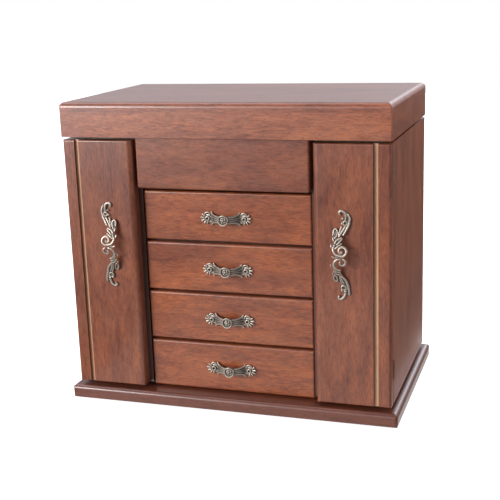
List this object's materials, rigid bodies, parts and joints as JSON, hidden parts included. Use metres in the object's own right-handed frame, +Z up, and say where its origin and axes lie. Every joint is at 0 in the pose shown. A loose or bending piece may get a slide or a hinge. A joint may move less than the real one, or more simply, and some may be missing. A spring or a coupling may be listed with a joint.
{
  "type": "jewellery chest with drawers",
  "caption": "Wooden jewellery chest with a hinged mirrored lid over a lined tray, sliding drawers with bow pulls, and side doors with scroll handles that hide necklace hooks.",
  "frame": {"origin": "centre of the underside of the base, on the surface the chest stands on", "axes": "+X to the right seen from the front, +Y to the back, +Z up"},
  "size_m": [0.3334, 0.2096, 0.3008],
  "materials": {
    "mahogany": "semi-gloss lacquered red-brown veneer",
    "dark_mahogany": "semi-gloss lacquered dark red-brown",
    "maple_inlay": "clear lacquered pale strip",
    "birch": "matte plain plywood",
    "velvet": "short-pile champagne velvet",
    "felt": "dark brown felt",
    "antique_metal": "antique silver casting with dark recesses",
    "hinge_brass": "satin brass",
    "bright_steel": "bright nickel plate",
    "mirror_glass": "silvered glass"
  },
  "bodies": {
    "carcass": {"base_board": "dark_mahogany", "base_felt": "felt", "plinth_frame": "dark_mahogany", "body_floor": "mahogany", "left_side_panel": "mahogany", "right_side_panel": "mahogany", "back_panel": "dark_mahogany", "left_partition": "mahogany", "right_partition": "mahogany", "drawer_shelves": "mahogany", "tray_floor": "mahogany", "tray_front_board": "mahogany", "fascia_board": "mahogany", "tray_liner": "velvet", "ring_rolls": "velvet", "compartment_linings": "velvet", "lid_hinge_body_leaves": "hinge_brass", "door_hinge_body_leaves": "antique_metal", "hinge_pins": "hinge_brass", "magnet_catches": "bright_steel"},
    "lid": {"lid_top_panel": "mahogany", "lid_front_rail": "mahogany", "lid_back_rail": "mahogany", "lid_side_rails": "mahogany", "lid_mirror": "mirror_glass", "mirror_surround": "velvet", "lid_hinge_lid_leaves": "hinge_brass"},
    "left_door": {"left_door_panel": "mahogany", "left_inlay_strip": "maple_inlay", "left_scroll_handle": "antique_metal", "left_handle_screws": "antique_metal", "left_door_hinge_leaves": "antique_metal", "left_strike_plate": "bright_steel", "left_necklace_hooks": "hinge_brass", "left_velvet_pocket": "velvet"},
    "right_door": {"right_door_panel": "mahogany", "right_inlay_strip": "maple_inlay", "right_scroll_handle": "antique_metal", "right_handle_screws": "antique_metal", "right_door_hinge_leaves": "antique_metal", "right_strike_plate": "bright_steel", "right_necklace_hooks": "hinge_brass", "right_velvet_pocket": "velvet"},
    "drawer_1": {"drawer_1_front": "mahogany", "drawer_1_box": "birch", "drawer_1_lining": "velvet", "drawer_1_pull": "antique_metal"},
    "drawer_2": {"drawer_2_front": "mahogany", "drawer_2_box": "birch", "drawer_2_lining": "velvet", "drawer_2_pull": "antique_metal"},
    "drawer_3": {"drawer_3_front": "mahogany", "drawer_3_box": "birch", "drawer_3_lining": "velvet", "drawer_3_pull": "antique_metal"},
    "drawer_4": {"drawer_4_front": "mahogany", "drawer_4_box": "birch", "drawer_4_lining": "velvet", "drawer_4_pull": "antique_metal"}
  },
  "joints": [
    {"name": "lid_hinge", "type": "hinge", "parent": "carcass", "child": "lid", "pos_m": [0, 0.0976, 0.2663], "axis": [-1, 0, 0], "range_deg": [0, 95]},
    {"name": "left_door_hinge", "type": "hinge", "parent": "carcass", "child": "left_door", "pos_m": [-0.1593, -0.08375, 0.1413], "axis": [0, 0, -1], "range_deg": [0, 110]},
    {"name": "right_door_hinge", "type": "hinge", "parent": "carcass", "child": "right_door", "pos_m": [0.1593, -0.08375, 0.1413], "axis": [0, 0, 1], "range_deg": [0, 110]},
    {"name": "drawer_1_slide", "type": "slide", "parent": "carcass", "child": "drawer_1", "axis": [0, -1, 0], "range_m": [0, 0.12]},
    {"name": "drawer_2_slide", "type": "slide", "parent": "carcass", "child": "drawer_2", "axis": [0, -1, 0], "range_m": [0, 0.12]},
    {"name": "drawer_3_slide", "type": "slide", "parent": "carcass", "child": "drawer_3", "axis": [0, -1, 0], "range_m": [0, 0.12]},
    {"name": "drawer_4_slide", "type": "slide", "parent": "carcass", "child": "drawer_4", "axis": [0, -1, 0], "range_m": [0, 0.12]}
  ]
}
